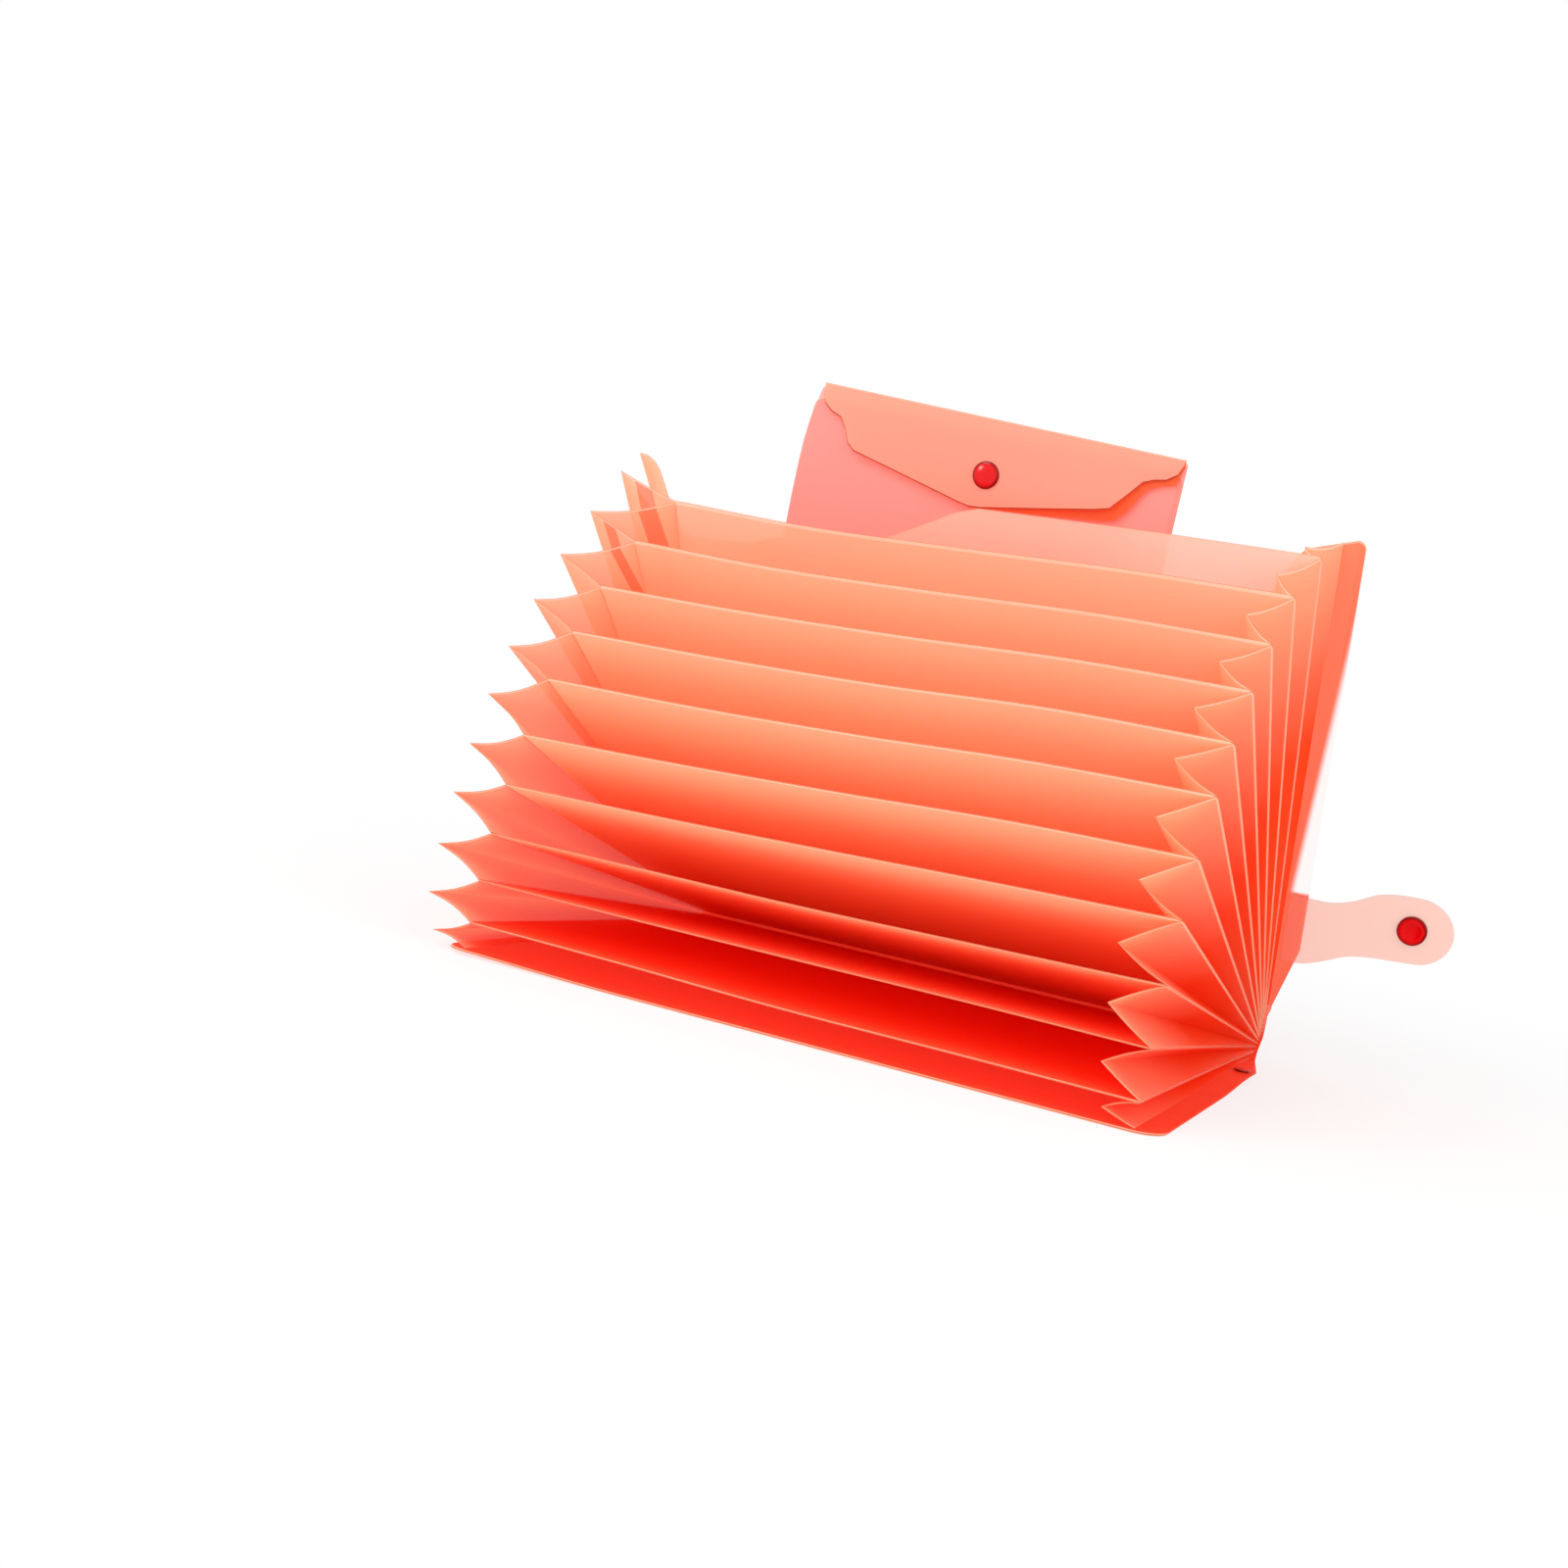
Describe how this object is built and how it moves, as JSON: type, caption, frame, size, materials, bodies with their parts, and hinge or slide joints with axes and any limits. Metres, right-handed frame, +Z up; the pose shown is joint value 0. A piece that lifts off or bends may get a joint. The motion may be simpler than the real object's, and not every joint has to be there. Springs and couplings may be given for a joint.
{
  "type": "expanding file folder",
  "caption": "Clear coral plastic accordion file fanned open on its front cover, with pleated sides, a snap envelope in the rear pocket and a side strap with a snap.",
  "frame": {"origin": "on the flat underside of the front cover, half way across its width, 160 mm in front of its spine edge", "axes": "+X to the right as seen from the open side, +Y from the open side towards the spine, +Z up from the table"},
  "size_m": [0.4488, 0.2533, 0.2983],
  "materials": {
    "cover_plastic": "translucent coral polypropylene, smooth satin sheen",
    "divider_plastic": "translucent orange polypropylene, satin",
    "gusset_plastic": "translucent orange polypropylene, satin",
    "envelope_plastic": "translucent pinkish polypropylene, satin",
    "strap_plastic": "clear pale peach polypropylene, satin",
    "snap_plastic": "glossy red moulded plastic"
  },
  "bodies": {
    "front": {"front_cover": "cover_plastic", "cover_spine": "cover_plastic", "cover_stud": "snap_plastic", "cover_rivet": "snap_plastic"},
    "leaf_01": {"divider_01": "divider_plastic", "left_gusset_01": "gusset_plastic", "right_gusset_01": "gusset_plastic"},
    "leaf_02": {"divider_02": "divider_plastic", "left_gusset_02": "gusset_plastic", "right_gusset_02": "gusset_plastic"},
    "leaf_03": {"divider_03": "divider_plastic", "left_gusset_03": "gusset_plastic", "right_gusset_03": "gusset_plastic"},
    "leaf_04": {"divider_04": "divider_plastic", "left_gusset_04": "gusset_plastic", "right_gusset_04": "gusset_plastic"},
    "leaf_05": {"divider_05": "divider_plastic", "left_gusset_05": "gusset_plastic", "right_gusset_05": "gusset_plastic"},
    "leaf_06": {"divider_06": "divider_plastic", "left_gusset_06": "gusset_plastic", "right_gusset_06": "gusset_plastic"},
    "leaf_07": {"divider_07": "divider_plastic", "left_gusset_07": "gusset_plastic", "right_gusset_07": "gusset_plastic"},
    "leaf_08": {"divider_08": "divider_plastic", "left_gusset_08": "gusset_plastic", "right_gusset_08": "gusset_plastic"},
    "leaf_09": {"divider_09": "divider_plastic", "left_gusset_09": "gusset_plastic", "right_gusset_09": "gusset_plastic"},
    "leaf_10": {"divider_10": "divider_plastic", "left_gusset_10": "gusset_plastic", "right_gusset_10": "gusset_plastic"},
    "leaf_11": {"divider_11": "divider_plastic", "left_gusset_11": "gusset_plastic", "right_gusset_11": "gusset_plastic"},
    "back": {"back_cover": "cover_plastic", "left_gusset_12": "gusset_plastic", "right_gusset_12": "gusset_plastic", "strap_root": "strap_plastic"},
    "strap_side": {"strap_neck": "strap_plastic"},
    "strap_end": {"strap_tab": "strap_plastic", "strap_socket": "snap_plastic", "strap_cap": "snap_plastic"},
    "envelope": {"envelope_back": "envelope_plastic", "envelope_front": "envelope_plastic", "envelope_stud": "snap_plastic"},
    "flap": {"envelope_flap": "envelope_plastic", "flap_cap": "snap_plastic", "flap_socket": "snap_plastic"}
  },
  "joints": [
    {"name": "fan_01", "type": "hinge", "parent": "front", "child": "leaf_01", "pos_m": [0, 0.16, 0.00235], "axis": [-1, 0, 0], "range_deg": [-2.15, 0.36], "deforming": ["left_gusset_01", "right_gusset_01"]},
    {"name": "fan_02", "type": "hinge", "parent": "leaf_01", "child": "leaf_02", "pos_m": [0, 0.16012, 0.0056], "axis": [-1, 0, 0], "range_deg": [-4.65, 0.74], "deforming": ["left_gusset_02", "right_gusset_02"]},
    {"name": "fan_03", "type": "hinge", "parent": "leaf_02", "child": "leaf_03", "pos_m": [0, 0.16041, 0.00808], "axis": [-1, 0, 0], "range_deg": [-5.25, 0.83], "deforming": ["left_gusset_03", "right_gusset_03"]},
    {"name": "fan_04", "type": "hinge", "parent": "leaf_03", "child": "leaf_04", "pos_m": [0, 0.16093, 0.01053], "axis": [-1, 0, 0], "range_deg": [-5.55, 0.88], "deforming": ["left_gusset_04", "right_gusset_04"]},
    {"name": "fan_05", "type": "hinge", "parent": "leaf_04", "child": "leaf_05", "pos_m": [0, 0.16167, 0.01291], "axis": [-1, 0, 0], "range_deg": [-5.75, 0.91], "deforming": ["left_gusset_05", "right_gusset_05"]},
    {"name": "fan_06", "type": "hinge", "parent": "leaf_05", "child": "leaf_06", "pos_m": [0, 0.16265, 0.01521], "axis": [-1, 0, 0], "range_deg": [-6.65, 1.04], "deforming": ["left_gusset_06", "right_gusset_06"]},
    {"name": "fan_07", "type": "hinge", "parent": "leaf_06", "child": "leaf_07", "pos_m": [0, 0.16389, 0.01738], "axis": [-1, 0, 0], "range_deg": [-6.15, 0.96], "deforming": ["left_gusset_07", "right_gusset_07"]},
    {"name": "fan_08", "type": "hinge", "parent": "leaf_07", "child": "leaf_08", "pos_m": [0, 0.16536, 0.01941], "axis": [-1, 0, 0], "range_deg": [-6.55, 1.02], "deforming": ["left_gusset_08", "right_gusset_08"]},
    {"name": "fan_09", "type": "hinge", "parent": "leaf_08", "child": "leaf_09", "pos_m": [0, 0.16704, 0.02126], "axis": [-1, 0, 0], "range_deg": [-7.25, 1.13], "deforming": ["left_gusset_09", "right_gusset_09"]},
    {"name": "fan_10", "type": "hinge", "parent": "leaf_09", "child": "leaf_10", "pos_m": [0, 0.16894, 0.02288], "axis": [-1, 0, 0], "range_deg": [-9.35, 1.45], "deforming": ["left_gusset_10", "right_gusset_10"]},
    {"name": "fan_11", "type": "hinge", "parent": "leaf_10", "child": "leaf_11", "pos_m": [0, 0.17108, 0.02418], "axis": [-1, 0, 0], "range_deg": [-12.2, 1.83], "deforming": ["left_gusset_11", "right_gusset_11", "cover_spine"]},
    {"name": "fan_12", "type": "hinge", "parent": "leaf_11", "child": "back", "pos_m": [0, 0.17604, 0.02589], "axis": [-1, 0, 0], "range_deg": [-9.55, 1.48], "deforming": ["left_gusset_12", "right_gusset_12"]},
    {"name": "strap_fold", "type": "hinge", "parent": "back", "child": "strap_side", "pos_m": [0.1683, 0.17233, 0.06684], "axis": [0, -0.165, 0.9863], "range_deg": [-90, 35]},
    {"name": "strap_wrap", "type": "hinge", "parent": "strap_side", "child": "strap_end", "pos_m": [0.2066, 0.17052, 0.07769], "axis": [0, -0.165, 0.9863], "range_deg": [-15, 20]},
    {"name": "envelope_slide", "type": "slide", "parent": "back", "child": "envelope", "axis": [0.0941, -0.1643, 0.9819], "range_m": [0, 0.06]},
    {"name": "flap_fold", "type": "hinge", "parent": "envelope", "child": "flap", "pos_m": [-0.023, 0.1335, 0.28948], "axis": [-0.9956, -0.0155, 0.0928], "range_deg": [0, 172]}
  ],
  "couplings": [
    {"joint": "fan_01", "follows": "fan_11", "ratio": 0.17213},
    {"joint": "fan_02", "follows": "fan_11", "ratio": 0.37705},
    {"joint": "fan_03", "follows": "fan_11", "ratio": 0.42623},
    {"joint": "fan_04", "follows": "fan_11", "ratio": 0.45082},
    {"joint": "fan_05", "follows": "fan_11", "ratio": 0.46721},
    {"joint": "fan_06", "follows": "fan_11", "ratio": 0.54098},
    {"joint": "fan_07", "follows": "fan_11", "ratio": 0.5},
    {"joint": "fan_08", "follows": "fan_11", "ratio": 0.53279},
    {"joint": "fan_09", "follows": "fan_11", "ratio": 0.59016},
    {"joint": "fan_10", "follows": "fan_11", "ratio": 0.76229},
    {"joint": "fan_12", "follows": "fan_11", "ratio": 0.77869}
  ]
}
